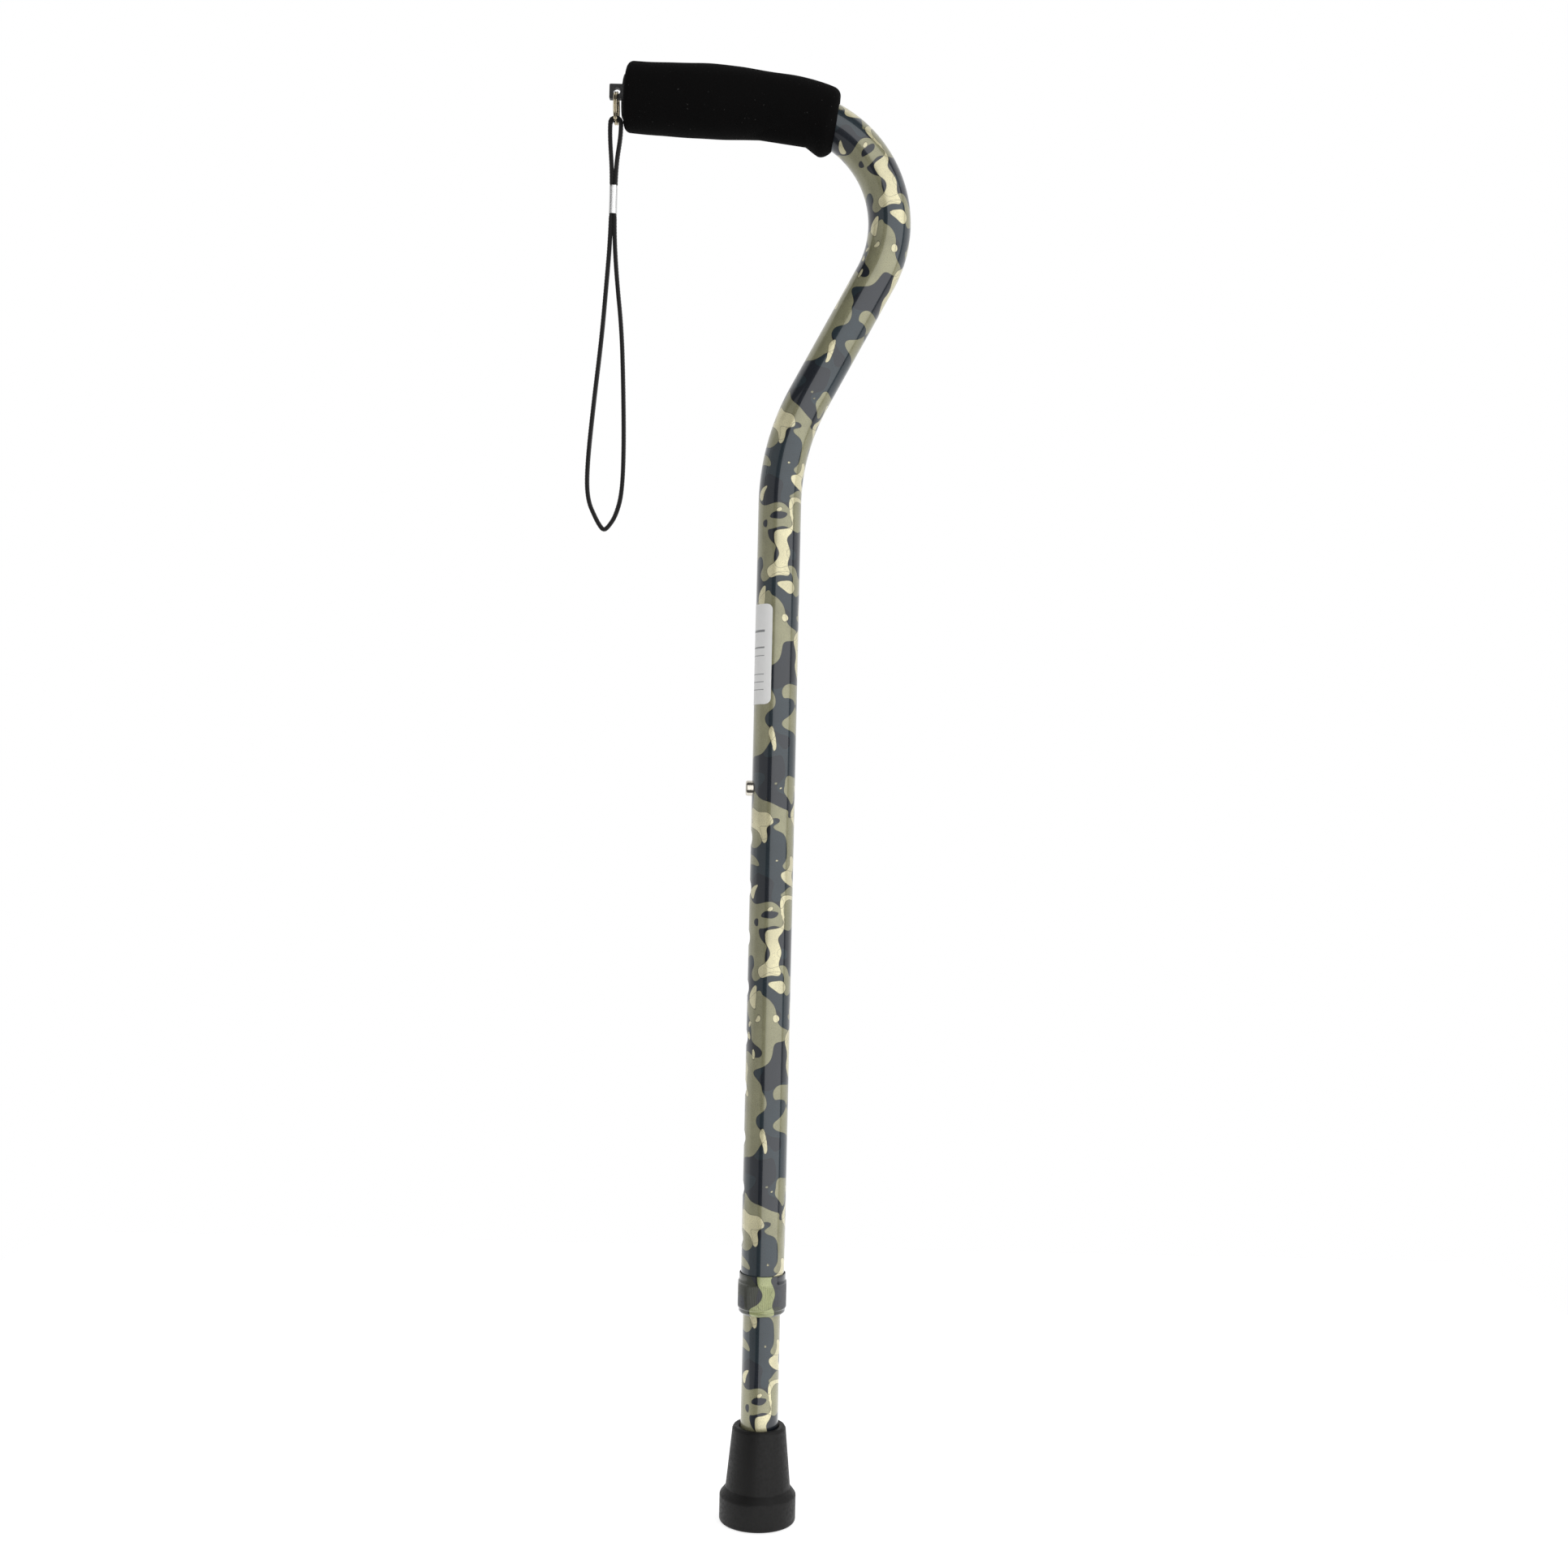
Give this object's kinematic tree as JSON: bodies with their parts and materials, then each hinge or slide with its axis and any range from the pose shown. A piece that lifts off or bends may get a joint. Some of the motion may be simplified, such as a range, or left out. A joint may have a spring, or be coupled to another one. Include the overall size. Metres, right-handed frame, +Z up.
{
  "type": "offset walking cane",
  "caption": "Height-adjustable offset walking cane: bent tube with foam grip, telescopic lower tube with snap button and locking collar, rubber tip and wrist strap.",
  "frame": {"origin": "centre of the rubber tip's ground face", "axes": "+Z up the shaft, the handle's nose points to -X, and the tube is bent in the XZ plane"},
  "size_m": [0.1648, 0.0384, 0.7446],
  "materials": {
    "printed_film": "aluminium tube under a printed camouflage film in dark slate, olive and khaki, with a gloss clear coat",
    "foam": "closed-cell black foam, matte with a fine skin texture",
    "black_plastic": "moulded black plastic, satin",
    "plated_wire": "nickel-plated spring wire, slightly warm",
    "braid": "flat black polyester braid",
    "bright_sleeve": "bright pressed metal sleeve",
    "blank_label": "white paper label, blank",
    "plated_button": "nickel-plated steel, polished",
    "spring_steel": "blued spring strip",
    "tip_rubber": "moulded black rubber, satin",
    "plain_steel": "zinc-plated steel",
    "nylon": "natural nylon",
    "collar_plastic": "ribbed plastic ring nut with the same printed film"
  },
  "bodies": {
    "lower_section": {"inner_tube": "printed_film", "rubber_tip": "tip_rubber", "tip_washer": "plain_steel", "button_spring": "spring_steel"},
    "button": {"snap_button": "plated_button"},
    "upper_section": {"outer_tube": "printed_film", "foam_grip": "foam", "end_cap": "black_plastic", "threaded_bushing": "nylon", "label": "blank_label"},
    "clamp": {"clamp_ring": "nylon"},
    "collar": {"locking_collar": "collar_plastic"},
    "ring": {"split_ring": "plated_wire"},
    "strap": {"wrist_strap": "braid", "strap_crimp": "bright_sleeve"}
  },
  "joints": [
    {"name": "height_slide", "type": "slide", "parent": "lower_section", "child": "upper_section", "axis": [0, 0, 1], "range_m": [0, 0.2286], "deforming": ["snap_button", "button_spring"]},
    {"name": "button_press", "type": "slide", "parent": "lower_section", "child": "button", "axis": [1, 0, 0], "range_m": [0, 0.0048], "stiffness_N_per_m": 1200, "springref_m": -0.001, "deforming": ["button_spring"]},
    {"name": "clamp_slide", "type": "slide", "parent": "upper_section", "child": "clamp", "axis": [0, 0, -1], "range_m": [0, 0.0015]},
    {"name": "collar_turn", "type": "hinge", "parent": "clamp", "child": "collar", "pos_m": [0, 0, 0.114], "axis": [0, 0, -1], "range_deg": [0, 360]},
    {"name": "ring_swing", "type": "hinge", "parent": "upper_section", "child": "ring", "pos_m": [-0.0892, 0, 0.7292], "axis": [0, 1, 0], "range_deg": [0, 60]},
    {"name": "strap_swing", "type": "hinge", "parent": "ring", "child": "strap", "pos_m": [-0.0892, 0, 0.71285], "axis": [0, 1, 0], "range_deg": [0, 45]}
  ],
  "couplings": [
    {"joint": "collar_turn", "follows": "clamp_slide", "rad_per_m": 4188.8}
  ]
}
